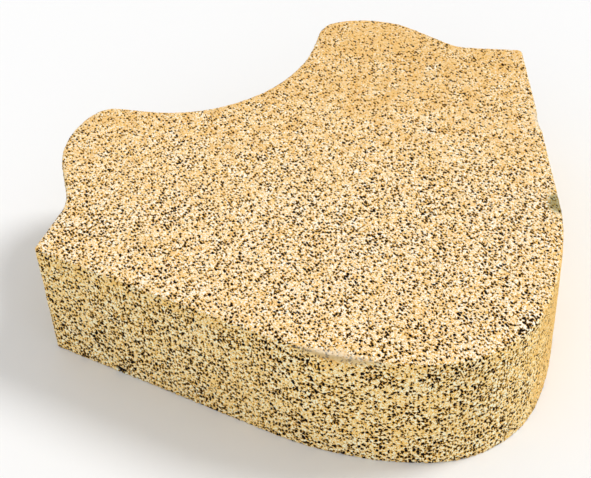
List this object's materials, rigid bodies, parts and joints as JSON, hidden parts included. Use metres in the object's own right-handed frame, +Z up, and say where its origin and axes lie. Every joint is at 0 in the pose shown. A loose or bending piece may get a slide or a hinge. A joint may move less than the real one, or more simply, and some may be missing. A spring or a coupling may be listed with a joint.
{
  "type": "concrete paving stone",
  "caption": "Interlocking concrete paving stone: a wedge with a rounded nose, and a scalloped end between lobes that takes the nose of the next stone.",
  "frame": {"origin": "centre of the stone's outline box, on the plane of its flat bed", "axes": "+X across the outer corners, +Y from the nose towards the scalloped end, +Z up out of the walking face"},
  "size_m": [0.2582, 0.2276, 0.06],
  "materials": {
    "concrete": "matt buff concrete with an open sandy grain"
  },
  "bodies": {
    "root": {"paving_stone": "concrete"}
  },
  "joints": []
}
